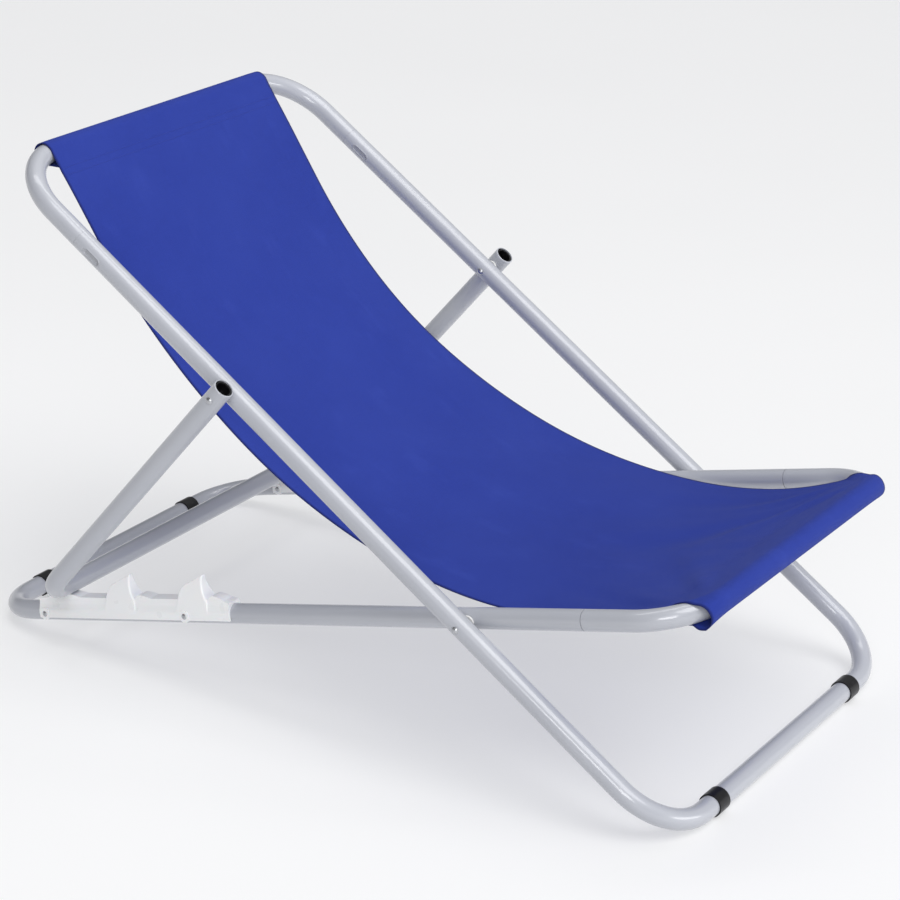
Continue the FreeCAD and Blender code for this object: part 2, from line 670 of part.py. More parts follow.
# -------------------------------------------------------------------- output
exported("base_rear_tube", base_rear_tube())
exported("seat_front_tube", seat_front_tube())
exported("back_lower_tube", back_lower_tube())
exported("back_top_tube", back_top_tube())
exported("prop_tube", prop_tube())
exported("sling_back", sling_back())
exported("sling_seat", sling_seat())
for word, sign in SIDES.items():
    exported("rack_" + word, placed_rack(sign))
    exported("rack_rivets_" + word, rack_rivets(sign))
    exported("frame_pivot_rivet_" + word, frame_pivot_rivet(sign))
    exported("frame_pivot_spacer_" + word, frame_pivot_spacer(sign))
    exported("prop_pivot_rivet_" + word, prop_pivot_rivet(sign))
    exported("prop_pivot_spacer_" + word, prop_pivot_spacer(sign))
    exported("prop_end_plug_" + word, prop_end_plug(sign))
    exported("rear_foot_" + word, foot_clip(sign * REAR_CLIP_X, REAR_BAR))
    exported("front_foot_" + word, foot_clip(sign * FRONT_CLIP_X, FRONT_BAR))
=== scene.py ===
"""Folding beach chair: canvas sling, finishes, floor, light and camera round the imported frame.

Metres, in the part's frame: +X to the sitter's left, the front of the chair at -Y, +Z up.
"""
import json
import math

import bpy
import numpy as np
from mathutils import Matrix, Vector


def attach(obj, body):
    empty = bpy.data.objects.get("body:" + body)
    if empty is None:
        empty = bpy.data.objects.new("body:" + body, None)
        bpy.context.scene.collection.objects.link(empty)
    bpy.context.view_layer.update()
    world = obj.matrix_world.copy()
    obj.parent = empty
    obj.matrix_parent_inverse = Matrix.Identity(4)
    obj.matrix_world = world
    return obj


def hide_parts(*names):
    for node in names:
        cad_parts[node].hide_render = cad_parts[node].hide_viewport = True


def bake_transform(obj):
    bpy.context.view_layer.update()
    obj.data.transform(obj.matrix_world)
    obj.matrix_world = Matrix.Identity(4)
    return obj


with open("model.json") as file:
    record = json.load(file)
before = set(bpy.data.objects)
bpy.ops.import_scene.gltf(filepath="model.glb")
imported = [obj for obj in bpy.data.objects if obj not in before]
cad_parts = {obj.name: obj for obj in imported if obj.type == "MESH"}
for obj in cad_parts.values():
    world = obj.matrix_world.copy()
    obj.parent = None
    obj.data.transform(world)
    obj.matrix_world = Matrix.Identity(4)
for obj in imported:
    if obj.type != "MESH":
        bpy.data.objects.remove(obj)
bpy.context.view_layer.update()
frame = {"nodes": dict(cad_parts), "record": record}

# ------------------------------------------------------- the frame's dimensions
TUBE_R = 0.011
FLOOR_BAR_Z = 0.0125        # height of the middle of both floor bars
STANCE = 0.880              # between the floor bars
BASE_X = 0.218              # half the base frame's width, to the middle of its tube
BASE_LENGTH = 0.906         # from its floor bar to the seat bar
BASE_TILT = math.radians(14.25)
SEAT_BEND = 0.066           # radius of the corners beside the seat bar
BACK_X = 0.2425             # half the back frame's width
BACK_LENGTH = 0.970         # from its floor bar to the head bar
BACK_TILT = math.radians(33.6)
HEAD_BEND = 0.070           # radius of the corners beside the head bar
PRESS_FROM_HEAD = 0.137     # from the head bar to the dimples pressed in the side tubes
PRESS_REACH = 0.0075        # half the straight length of the painted shade and the bump rim in each

# ------------------------------------------------------------- the sling's cut
CANVAS = 0.0010             # thickness of the cloth
WRAP_R = TUBE_R + 0.0009    # radius of the cloth's middle on a bar
HALF_WRAP = math.pi * WRAP_R       # its length halfway round a bar
HEAD_SLOPE = math.radians(55.0)    # slope of the cloth where it leaves the head bar
SEAT_SLOPE = math.radians(26.0)    # and the seat bar
LOW = np.array([-0.220, 0.1865])   # (y, z) of its lowest line
HEAD_SLEEVE = 0.021         # from the head bar to the seam that closes its sleeve
SEAT_SLEEVE = 0.034         # the same at the seat bar
HEM = 0.014                 # the hem's overlap past that seam
TUCK = 0.0018               # how much further in the loose layer's side edges are
# (y, half the width) at the seat bar, behind it, on the seat, at the waist and at the head.
HALF_WIDTHS = ((-0.438, 0.1955), (-0.40, 0.1995), (-0.16, 0.2015), (0.14, 0.187), (0.34, 0.190))
WIDTH_REACH = 22            # rows over which that outline is rounded, each way
FOLLOW = 0.2                # how much of a corner's bend the front of a sleeve follows
SEAT_DROOP = (0.006, 0.0035)       # how far the seat sleeve's loose ends hang, right and left
HEAD_DROOP = (0.0, 0.0)            # and the head sleeve's
BAR_STEP, PANEL_STEP = 0.0022, 0.0048    # between rows round a bar and on the open panel
COLUMNS = 101

# ---------------------------------------------------------- folds and stitches
SEAT_FAN = 0.00220          # height of the folds that fan out of the seat bar's ends
HEAD_FAN = 0.00024          # and of the head bar's ends
SEAT_RIPPLE = 0.00055       # of the ripple behind the seat bar
SLACK = 0.00110             # of the slow waves on the open cloth
EDGE_SAG = 0.00200          # how far the free edges sink
SAG_OVER = (0.10, 0.205)    # and from where to where across the cloth
SEAT_CORNER, HEAD_CORNER = 0.205, 0.20   # how far from the middle of a bar its folds meet
CORNER_OUT = 0.012          # and how far past the panel's end
SEAM_DEPTH, SEAM_WIDTH = 0.00018, 0.0022
SELVEDGE = 0.0035           # width of the darker side edges
STITCH, STITCH_PITCH, THREAD_R = 0.0027, 0.0036, 0.00032
THREAD_SIDES = 6
# A stitch from end to end: (place in half lengths, width and lift in thread radii).
STITCH_PROFILE = ((-1.0, 0.15, -0.9), (-0.8, 0.75, -0.2), (-0.3, 1.0, 0.15),
                  (0.3, 1.0, 0.15), (0.8, 0.75, -0.2), (1.0, 0.15, -0.9))

# ------------------------------------------------------------ floor and camera
FLOOR_HALF, FLOOR_GAP = 30.0, 0.0002
CAMERA_PLACE = (-2.32332, -1.50296, 1.35253)
CAMERA_YAW, CAMERA_PITCH, CAMERA_ROLL = (math.radians(a) for a in (-57.5567, 21.9571, 1.0716))
CAMERA_LENS = 110.187


# --------------------------------------------------------------------- shaders
def material(name, base, roughness, **sockets):
    """A plain material; sockets are named as on the shader, with _ for each space."""
    mat = bpy.data.materials.new(name)
    mat.use_nodes = True
    shader = mat.node_tree.nodes["Principled BSDF"]
    shader.inputs["Base Color"].default_value = (*base, 1)
    shader.inputs["Roughness"].default_value = roughness
    for key, value in sockets.items():
        shader.inputs[key.replace("_", " ")].default_value = value
    return mat


class Graph:
    """Adds nodes to a material or world, wiring each input that is a socket and setting the rest."""

    def __init__(self, owner, shader="Principled BSDF"):
        self.nodes = owner.node_tree.nodes
        self.links = owner.node_tree.links
        self.shader = self.nodes[shader]

    def add(self, kind, inputs=(), output=0, **settings):
        node = self.nodes.new(kind)
        for key, value in settings.items():
            setattr(node, key, value)
        for key, value in dict(inputs).items():
            if isinstance(value, bpy.types.NodeSocket):
                self.links.new(value, node.inputs[key])
            else:
                node.inputs[key].default_value = value
        return node.outputs[output]

    def math(self, operation, a, b=0.0):
        return self.add("ShaderNodeMath", {0: a, 1: b}, operation=operation)

    def mix(self, factor, a, b):
        return self.add("ShaderNodeMix", {0: factor, 6: a, 7: b}, 2, data_type="RGBA")

    def ramp(self, value, low, high, to_low=0.0, to_high=1.0):
        keys = {0: value, 1: low, 2: high, 3: to_low, 4: to_high}
        return self.add("ShaderNodeMapRange", keys)

    def noise(self, vector, scale, detail=2.0, roughness=0.5):
        keys = {"Vector": vector, "Scale": scale, "Detail": detail, "Roughness": roughness}
        return self.add("ShaderNodeTexNoise", keys)

    def stretched(self, vector, scale):
        return self.add("ShaderNodeMapping", {"Vector": vector, "Scale": scale})

    def bump(self, height, distance, strength=1.0, normal=None):
        keys = {"Height": height, "Distance": distance, "Strength": strength}
        if normal is not None:
            keys["Normal"] = normal
        return self.add("ShaderNodeBump", keys)

    def where(self):
        return self.add("ShaderNodeTexCoord", output=3)

    def feed(self, key, socket):
        self.links.new(socket, self.shader.inputs[key])


def from_press_mark(g, at):
    """Distance from the middle line of the dimples pressed in the back frame's side tubes."""
    leg = Vector((0, math.cos(BACK_TILT), math.sin(BACK_TILT)))
    centre = Vector((0, -STANCE / 2, FLOOR_BAR_Z)) + (BACK_LENGTH - PRESS_FROM_HEAD) * leg
    place = g.add("ShaderNodeVectorMath", {0: at, 1: tuple(centre)}, operation="SUBTRACT")
    along = g.add("ShaderNodeVectorMath", {0: place, 1: tuple(leg)}, 1, operation="DOT_PRODUCT")
    across = g.add("ShaderNodeVectorMath", {0: place, 1: (0, -leg.z, leg.y)}, 1, operation="DOT_PRODUCT")
    beyond = g.math("MAXIMUM", g.math("SUBTRACT", g.math("ABSOLUTE", along), PRESS_REACH), 0.0)
    both = g.add("ShaderNodeCombineXYZ", {0: beyond, 1: across})
    return g.add("ShaderNodeVectorMath", {0: both}, 1, operation="LENGTH")


def powder_coat():
    """Silver-grey paint with orange peel, faint scuffs, and painted shade in the pressed dimples."""
    mat = material("powder_coat", (0.42, 0.43, 0.475), 0.34, Coat_Weight=0.7, Coat_Roughness=0.09)
    g = Graph(mat)
    at = g.where()
    cloud = g.noise(at, 9.0, 2.0, 0.5)
    scuff = g.ramp(g.noise(g.stretched(at, (1, 0.3, 0.3)), 240.0, 5.0, 0.7), 0.62, 0.78)
    tone = g.mix(cloud, (0.375, 0.388, 0.43, 1), (0.41, 0.423, 0.465, 1))
    press = from_press_mark(g, at)
    # painted shade: the core of each pressed dimple is darkened as if shaded in its recess
    dust_and_painted_shade = g.ramp(press, 0.0027, 0.0010, 0.0, 0.3)
    tone = g.mix(dust_and_painted_shade, tone, (0.20, 0.205, 0.23, 1))
    g.feed("Base Color", g.mix(g.math("MULTIPLY", scuff, 0.12), tone, (0.30, 0.31, 0.34, 1)))
    g.feed("Roughness", g.ramp(g.noise(at, 40.0, 3.0), 0.3, 0.7, 0.28, 0.4))
    peel = g.noise(at, 700.0, 2.0)
    specks = g.noise(at, 3200.0, 1.0)
    rim = g.math("MULTIPLY", g.ramp(press, 0.0050, 0.0041), g.ramp(press, 0.0031, 0.0039, 0.0, 0.3))
    pressed = g.bump(g.math("SUBTRACT", rim, g.ramp(press, 0.0037, 0.0012)), 0.0014)
    g.feed("Normal", g.bump(specks, 0.00002, 0.25, g.bump(peel, 0.00006, 0.3, pressed)))
    return mat


def rack_plastic():
    """White moulded plastic, a little translucent."""
    mat = material("rack_plastic", (0.80, 0.81, 0.83), 0.3, Subsurface_Weight=0.08,
                   Subsurface_Scale=0.004, Coat_Weight=0.15, Coat_Roughness=0.2)
    g = Graph(mat)
    at = g.where()
    flow = g.noise(g.stretched(at, (1, 0.25, 0.25)), 30.0, 2.0)
    g.feed("Base Color", g.mix(flow, (0.785, 0.792, 0.805, 1), (0.825, 0.83, 0.84, 1)))
    g.feed("Roughness", g.ramp(g.noise(at, 60.0, 3.0), 0.3, 0.7, 0.26, 0.36))
    grain = g.noise(at, 2400.0, 1.0)
    g.feed("Normal", g.bump(grain, 0.00002, 0.25))
    return mat


def black_plastic():
    """The foot clips and end plugs, with dust in the grain."""
    mat = material("black_plastic", (0.006, 0.006, 0.007), 0.45, Specular_IOR_Level=0.35)
    g = Graph(mat)
    at = g.where()
    dust_and_painted_shade = g.ramp(g.noise(at, 260.0, 5.0, 0.65), 0.55, 0.85)
    g.feed("Base Color", g.mix(dust_and_painted_shade, (0.004, 0.004, 0.005, 1), (0.022, 0.022, 0.025, 1)))
    g.feed("Roughness", g.ramp(dust_and_painted_shade, 0.0, 1.0, 0.36, 0.6))
    g.feed("Normal", g.bump(g.noise(at, 1800.0, 2.0), 0.00008, 0.5))
    return mat


def rivet_steel():
    """Dull plated steel."""
    mat = material("rivet_steel", (0.62, 0.63, 0.65), 0.32, Metallic=0.9)
    g = Graph(mat)
    at = g.where()
    turned = g.noise(g.stretched(at, (1, 12, 12)), 160.0, 3.0)
    g.feed("Base Color", g.mix(turned, (0.34, 0.35, 0.38, 1), (0.58, 0.59, 0.61, 1)))
    g.feed("Roughness", g.ramp(turned, 0.3, 0.7, 0.25, 0.45))
    g.feed("Normal", g.bump(turned, 0.00006, 0.4))
    return mat


def spacer_plastic():
    """Plain pale washers."""
    mat = material("spacer_plastic", (0.68, 0.68, 0.68), 0.45)
    g = Graph(mat)
    at = g.where()
    cloud = g.noise(at, 120.0, 3.0)
    g.feed("Base Color", g.mix(cloud, (0.62, 0.62, 0.62, 1), (0.74, 0.74, 0.73, 1)))
    g.feed("Normal", g.bump(g.noise(at, 1500.0, 2.0), 0.00005, 0.4))
    return mat


def canvas_cloth():
    """A plain weave in royal blue, its threads laid out on the cut (UV in metres)."""
    mat = material("canvas", (0.03, 0.05, 0.30), 0.78, Sheen_Weight=0.06, Sheen_Roughness=0.5,
                   Sheen_Tint=(0.55, 0.65, 1.0, 1), Specular_IOR_Level=0.15)
    g = Graph(mat)
    cut = g.add("ShaderNodeUVMap", uv_map="cut")
    split = g.add("ShaderNodeSeparateXYZ", {0: cut})
    across, down = split, split.node.outputs[1]
    pitch = 0.00085
    turns = 2 * math.pi / pitch
    warp = g.math("SINE", g.math("MULTIPLY", across, turns))
    weft = g.math("SINE", g.math("MULTIPLY", down, turns))
    over = g.math("MULTIPLY", warp, weft)
    slub_down = g.noise(g.stretched(cut, (1.0, 0.035, 1.0)), 1500.0, 3.0, 0.6)
    slub_across = g.noise(g.stretched(cut, (0.035, 1.0, 1.0)), 1500.0, 3.0, 0.6)
    slubs = g.math("MULTIPLY", g.math("ADD", slub_down, slub_across), 0.5)
    patch = g.noise(cut, 7.0, 4.0, 0.55)
    cloth = g.mix(g.ramp(slubs, 0.35, 0.65), (0.011, 0.0257, 0.205, 1), (0.0184, 0.0383, 0.278, 1))
    cloth = g.mix(g.ramp(over, -1.0, 1.0, 0.0, 0.3), cloth, (0.020, 0.042, 0.305, 1))
    cloth = g.mix(g.ramp(patch, 0.35, 0.7, 0.0, 0.4), cloth, (0.024, 0.047, 0.30, 1))
    rub = g.ramp(g.noise(g.stretched(cut, (1.0, 0.45, 1.0)), 26.0, 5.0, 0.6), 0.56, 0.80, 0.0, 0.35)
    cloth = g.mix(rub, cloth, (0.034, 0.062, 0.36, 1))
    edge = g.add("ShaderNodeAttribute", output=2, attribute_name="selvedge")
    cloth = g.mix(edge, cloth, (0.008, 0.012, 0.085, 1))
    g.feed("Base Color", cloth)
    g.feed("Roughness", g.ramp(slubs, 0.3, 0.7, 0.70, 0.88))
    threads = g.math("ADD", g.math("MULTIPLY", over, 0.5), slubs)
    g.feed("Normal", g.bump(threads, 0.00022, 0.55))
    return mat


def sewing_thread():
    """Twisted thread, nearly the colour of the cloth."""
    mat = material("sewing_thread", (0.03, 0.055, 0.33), 0.6, Specular_IOR_Level=0.3)
    g = Graph(mat)
    keys = {"Vector": g.where(), "Scale": 900.0, "Distortion": 2.0}
    twist = g.add("ShaderNodeTexWave", keys, bands_direction="DIAGONAL")
    g.feed("Base Color", g.mix(twist, (0.014, 0.029, 0.22, 1), (0.024, 0.045, 0.31, 1)))
    g.feed("Normal", g.bump(twist, 0.0001, 0.4))
    return mat


def lit_floor():
    """A white acrylic table, lit from below, so that shadows on it are pale."""
    mat = material("floor", (0.37, 0.37, 0.37), 0.5, Emission_Color=(0.98, 0.985, 1.0, 1),
                   Emission_Strength=0.515)
    g = Graph(mat)
    at = g.where()
    cloud = g.noise(at, 1.2, 3.0)
    g.feed("Base Color", g.mix(cloud, (0.355, 0.355, 0.355, 1), (0.385, 0.385, 0.385, 1)))
    g.feed("Normal", g.bump(g.noise(at, 60.0, 3.0), 0.0004, 0.15))
    return mat


# -------------------------------------------------------------- sling geometry
def ends_of_bars():
    """(y, z) of the head bar and the seat bar."""
    head = np.array([-STANCE / 2 + BACK_LENGTH * math.cos(BACK_TILT),
                     FLOOR_BAR_Z + BACK_LENGTH * math.sin(BACK_TILT)])
    seat = np.array([STANCE / 2 - BASE_LENGTH * math.cos(BASE_TILT),
                     FLOOR_BAR_Z + BASE_LENGTH * math.sin(BASE_TILT)])
    return head, seat


def panel_line(bar, slope, toward, step=0.001):
    """From the low point to the touch on a bar: level, then an arc, then straight."""
    normal = np.array([-toward * math.sin(slope), math.cos(slope)])
    touch = bar + WRAP_R * normal
    across, up = toward * (touch[0] - LOW[0]), touch[1] - LOW[1]
    tan, sin, cos = math.tan(slope), math.sin(slope), math.cos(slope)
    radius = (across * tan - up) / (sin * tan - (1 - cos))
    angles = np.arange(0, slope, step / radius)
    arc = np.stack([LOW[0] + toward * radius * np.sin(angles),
                    LOW[1] + radius * (1 - np.cos(angles))], 1)
    last = np.array([LOW[0] + toward * radius * sin, LOW[1] + radius * (1 - cos)])
    run = np.linspace(0, 1, max(2, int(np.linalg.norm(touch - last) / step)))[:, None]
    return np.vstack([arc, last + run * (touch - last)])


def sleeve_line(bar, slope, toward, room, step=0.001):
    """From the touch on, round the bar and back to the seam under the panel, then the hem."""
    normal = np.array([-toward * math.sin(slope), math.cos(slope)])
    down = np.array([-toward * math.cos(slope), -math.sin(slope)])
    seam = bar + WRAP_R * normal + room * down - normal * (CANVAS * 1.25)
    to_seam = seam - bar
    reach = np.linalg.norm(to_seam)
    # The tangent from the seam to the bar, on the side away from the panel.
    spread = math.acos(WRAP_R / reach)
    facing = math.atan2(to_seam[1], to_seam[0])
    first = math.atan2(normal[1], normal[0])
    last = facing + toward * spread
    sweep = (last - first) * -toward % (2 * math.pi)
    turns = np.arange(0, sweep, step / WRAP_R)
    arc = np.stack([bar[0] + WRAP_R * np.cos(first - toward * turns),
                    bar[1] + WRAP_R * np.sin(first - toward * turns)], 1)
    leave = bar + WRAP_R * np.array([math.cos(last), math.sin(last)])
    run = np.linspace(0, 1, 30)[:, None]
    back = leave + run * (seam - leave)
    hem = seam + np.linspace(0.06, 1, 14)[:, None] * HEM * down
    return np.vstack([arc, back, hem])


def smoothed(values, reach):
    """A running average that keeps the two ends."""
    kernel = np.hanning(2 * reach + 3)[1:-1]
    kernel /= kernel.sum()
    padded = np.concatenate([np.repeat(values[:1], reach), values, np.repeat(values[-1:], reach)])
    return np.convolve(padded, kernel, "valid")


def whole_line():
    """The sling's side line from the head hem to the seat hem, and what each point is on."""
    head, seat = ends_of_bars()
    head_sleeve = sleeve_line(head, HEAD_SLOPE, 1, HEAD_SLEEVE)[::-1]
    head_panel = panel_line(head, HEAD_SLOPE, 1)[::-1]
    seat_panel = panel_line(seat, SEAT_SLOPE, -1)
    seat_sleeve = sleeve_line(seat, SEAT_SLOPE, -1, SEAT_SLEEVE)
    parts = [head_sleeve, head_panel[1:], seat_panel[1:], seat_sleeve[1:]]
    kinds = np.concatenate([np.full(len(p), k) for k, p in enumerate(parts)])
    line = np.vstack(parts)
    gap = np.linalg.norm(np.diff(line, axis=0), axis=1)
    keep = np.concatenate([[True], gap > 1e-6])
    line, kinds = line[keep], kinds[keep]
    along = np.concatenate([[0], np.cumsum(np.linalg.norm(np.diff(line, axis=0), axis=1))])
    return line, kinds, along


def rows_of(line, kinds, along):
    """Rows closer together round the bars than on the open panel."""
    stops = [along[0], along[kinds == 1][0], along[kinds == 2][-1], along[-1]]
    rows = []
    for low, high, step in zip(stops, stops[1:], (BAR_STEP, PANEL_STEP, BAR_STEP)):
        rows.append(np.linspace(low, high, max(2, int((high - low) / step)))[:-1])
    rows = np.concatenate(rows + [[stops[-1]]])
    place = np.stack([np.interp(rows, along, line[:, k]) for k in (0, 1)], 1)
    on_panel = (rows >= stops[1]) & (rows <= stops[2])
    return rows, place, on_panel, stops


def ease(x, low, high):
    """From 0 at low to 1 at high, level at both."""
    t = np.clip((x - low) / (high - low), 0, 1)
    return t * t * (3 - 2 * t)


class Bar:
    """A bar with its two corner bends, and the cloth's place on it.

    interior is the side of the bar that its frame lies on: 1 towards +Y, -1 towards -Y.
    """

    def __init__(self, place, tilt, interior, half_width, bend, droop):
        self.place = place
        self.interior = interior
        self.inward = np.array([interior * math.cos(tilt), interior * math.sin(tilt)])
        self.normal = np.array([-self.inward[1], self.inward[0]]) * interior
        self.straight, self.bend = half_width - bend, bend
        self.droop = droop

    def split(self, yz):
        """How far inside the frame a point is, and how far above its plane."""
        return (yz - self.place) @ self.inward, (yz - self.place) @ self.normal

    def joined(self, inside, above):
        return self.place + inside[..., None] * self.inward + above[..., None] * self.normal

    def departure(self, x):
        """How far the bar has bent away from its straight line at x."""
        past = np.clip(np.abs(x) - self.straight, 0, self.bend * 0.98)
        return self.bend - np.sqrt(self.bend ** 2 - past ** 2)

    def outside(self, x, inside):
        """How far outside the bar's centre line a point of the frame's plane is."""
        past = np.maximum(np.abs(x) - self.straight, 0)
        bent = np.hypot(past, self.bend - inside) - self.bend
        bent = np.where(inside > self.bend, past - self.bend, bent)
        return np.where(past > 0, bent, -inside)

    def hold_off(self, x, yz, layer):
        """Push the cloth off the bar: up where it lies over it, down where it is under it."""
        inside, above = self.split(yz)
        room = np.sqrt(np.maximum(WRAP_R ** 2 - self.outside(x, inside) ** 2, 0))
        pushed = np.where(layer > 0, np.maximum(above, room), np.minimum(above, -room))
        return self.joined(inside, np.where(room > 0, pushed, above))


def round_bar(bar, x, yz, past, room):
    """Lay the cloth round one bar. past is how far along the cloth each row is from its touch.

    Its stages are set in half turns round the bar: the corners' bend and the droop ease in over
    the first half turn and out again between the bar and the seam.
    """
    closing = 1 - ease(past, 1.1 * HALF_WRAP, 1.1 * HALF_WRAP + room)
    gone = bar.departure(x)
    inside, above = bar.split(yz)
    inside = inside + ease(past, -0.004, 0.5 * HALF_WRAP) * closing * FOLLOW * gone
    hang = np.where(x < 0, *bar.droop) * gone / gone.max()
    above = above - hang * ease(past, -0.012, 0.3 * HALF_WRAP) * closing
    layer = np.where(past < 0.55 * HALF_WRAP, 1, -1) * np.ones_like(x)
    yz = bar.hold_off(x, bar.joined(inside, above), layer)
    # Under the bar the loose layer runs level from the sleeve's lowest line.
    under = (past[:, 0] > 0.95 * HALF_WRAP) & (past[:, 0] < 1.1 * HALF_WRAP + 0.8 * room)
    order = slice(None, None, -bar.interior)
    inside, above = bar.split(yz)
    above[under] = np.minimum.accumulate(above[under][order], axis=0)[order]
    return bar.joined(inside, above)


def sling_grid():
    """Every point of the sling (rows, columns, 3), and where its rows and columns are on the cut."""
    line, kinds, along = whole_line()
    rows, place, on_panel, stops = rows_of(line, kinds, along)
    ends = ends_of_bars()
    head = Bar(ends[0], BACK_TILT, -1, BACK_X, HEAD_BEND, HEAD_DROOP)
    seat = Bar(ends[1], -BASE_TILT, 1, BASE_X, SEAT_BEND, SEAT_DROOP)
    sleeves = (head, stops[1] - rows, HEAD_SLEEVE), (seat, rows - stops[2], SEAT_SLEEVE)
    share = np.linspace(-1, 1, COLUMNS)
    half = smoothed(np.interp(place[:, 0], *zip(*HALF_WIDTHS)), WIDTH_REACH)
    for bar, past, room in sleeves:
        half -= TUCK * ease(past, 1.2 * HALF_WRAP, 1.2 * HALF_WRAP + 0.3 * room)
    x = share[None, :] * half[:, None]
    yz = place[:, None, :] * np.ones((1, COLUMNS, 1))
    for bar, past, room in sleeves:
        yz = round_bar(bar, x, yz, past[:, None], room)
    points = np.concatenate([x[..., None], yz], -1)
    return points, rows, on_panel, stops, share


def smooth_object(name, mesh):
    """A smooth-shaded object of the mesh, in the scene."""
    mesh.polygons.foreach_set("use_smooth", [True] * len(mesh.polygons))
    obj = bpy.data.objects.new(name, mesh)
    bpy.context.scene.collection.objects.link(obj)
    return obj


def grid_mesh(name, points, uv, selvedge):
    """A grid of four-sided faces, with the cut as its UV map and the dark edges as an attribute."""
    n, m = points.shape[:2]
    mesh = bpy.data.meshes.new(name)
    index = np.arange(n * m).reshape(n, m)
    corners = index[:-1, :-1], index[:-1, 1:], index[1:, 1:], index[1:, :-1]
    faces = np.stack(corners, -1).reshape(-1, 4)
    mesh.from_pydata(points.reshape(-1, 3).tolist(), [], faces.tolist())
    layer = mesh.uv_layers.new(name="cut")
    loops = np.zeros(len(mesh.loops), np.int32)
    mesh.loops.foreach_get("vertex_index", loops)
    layer.data.foreach_set("uv", uv.reshape(-1, 2)[loops].astype(np.float32).ravel())
    edge = mesh.attributes.new("selvedge", "FLOAT", "POINT")
    edge.data.foreach_set("value", selvedge.reshape(-1).astype(np.float32))
    return smooth_object(name, mesh)


def normals_of(points):
    """Unit normals of the grid, up on the panel and so outwards all round a sleeve."""
    down = np.gradient(points, axis=0)
    across = np.gradient(points, axis=1)
    n = np.cross(across, down)
    n /= np.maximum(np.linalg.norm(n, axis=-1, keepdims=True), 1e-12)
    return n * np.sign(n[len(points) // 2, COLUMNS // 2, 2])


def window(x, rise, fall):
    """0, then up to 1 over the first range, and back to 0 over the second."""
    return ease(x, *rise) * (1 - ease(x, *fall))


def from_corner(across, from_bar, corner):
    """Each point's distance and direction from where a corner's folds meet."""
    beside, beyond = corner - across, from_bar + CORNER_OUT
    return np.hypot(beside, beyond), np.arctan2(beyond, beside)


def creases(across, from_seat, from_head, length):
    """How far the cloth stands off its smooth line: soft folds from the corners, and slack."""
    off = np.zeros_like(across)
    for side, tilt, size in ((1, 0.0, 1.0), (-1, 0.4, 0.8)):
        reach, angle = from_corner(side * across, from_seat, SEAT_CORNER)
        fan = window(reach, (0.03, 0.11), (0.18, 0.40)) * window(angle, (0.10, 0.45), (0.95, 1.45))
        ripple = np.sin(angle * 13.0 + tilt + 6.0 * reach)
        ripple += 0.4 * np.sin(angle * 24.0 + 1.3 + tilt - 9.0 * reach)
        off += size * SEAT_FAN * fan * ripple
    for side, size in ((1, 1.0), (-1, 0.8)):
        reach, angle = from_corner(side * across, from_head, HEAD_CORNER)
        fan = window(reach, (0.03, 0.09), (0.12, 0.30)) * window(angle, (0.15, 0.5), (1.0, 1.45))
        off += size * HEAD_FAN * fan * np.sin(angle * 17.0 + 0.8 + 8.0 * reach)
    seat_strip = window(from_seat, (0.015, 0.06), (0.07, 0.16))
    off += SEAT_RIPPLE * seat_strip * np.sin(across * 95.0 + 2.0 * np.sin(across * 31.0))
    open_cloth = ease(from_seat, 0.05, 0.2) * ease(from_head, 0.05, 0.2)
    slow = np.sin(across * 17.0 + 1.1) * np.sin(length * 12.0 + 0.4)
    slow += 0.6 * np.sin(across * 29.0 - length * 19.0)
    off += SLACK * open_cloth * slow
    off -= EDGE_SAG * open_cloth * ease(np.abs(across), *SAG_OVER)
    return off


def seam_dip(distance, across):
    """The groove that a line of stitches draws in, puckered a little along its length."""
    pucker = 1 + 0.35 * np.sin(across * 520.0) + 0.25 * np.sin(across * 297.0 + 1.0)
    return -SEAM_DEPTH * np.exp(-(distance / SEAM_WIDTH) ** 2) * pucker


def seam_lines(room):
    """A sleeve's two lines of stitches, from its bar: past the seam, and short of the hem's edge."""
    return room + 0.002, room + HEM - 0.004


def loose_layer_lift(lift, to_end, from_bar, on_panel, room):
    """The layer under a seam moves with the panel that it is stitched to; its normals face down."""
    beneath = room + HEM - to_end
    under = (beneath > 0) & ~on_panel
    order = np.argsort(from_bar[on_panel])
    panel_at, panel_lift = from_bar[on_panel][order], lift[on_panel][order]
    moved = np.zeros_like(lift)
    for column in range(lift.shape[1]):
        moved[under, column] = -np.interp(beneath[under], panel_at, panel_lift[:, column])
    return moved * ease(beneath, 0, room)[:, None]


def at_length(where, along, values):
    """The row of values at a length along a line."""
    return np.array([np.interp(where, along, values[:, k]) for k in range(values.shape[1])])


def one_stitch(place, ahead, out, first):
    """The points and faces of a small rounded thread, numbered from first."""
    side = np.cross(out, ahead)
    turns = np.linspace(0, 2 * math.pi, THREAD_SIDES + 1)[:-1]
    points, faces = [], []
    for step, width, lift in STITCH_PROFILE:
        centre = place + ahead * step * STITCH / 2 + out * (CANVAS / 2 + THREAD_R * lift)
        for turn in turns:
            points.append(centre + (side * math.cos(turn) + out * math.sin(turn)) * THREAD_R * width)
    for k in range(len(STITCH_PROFILE) - 1):
        ring = first + THREAD_SIDES * k
        for j in range(THREAD_SIDES):
            a, b = ring + j, ring + (j + 1) % THREAD_SIDES
            faces.append((a, b, b + THREAD_SIDES, a + THREAD_SIDES))
    last = first + THREAD_SIDES * (len(STITCH_PROFILE) - 1)
    faces.append(tuple(first + j for j in reversed(range(THREAD_SIDES))))
    faces.append(tuple(last + j for j in range(THREAD_SIDES)))
    return points, faces


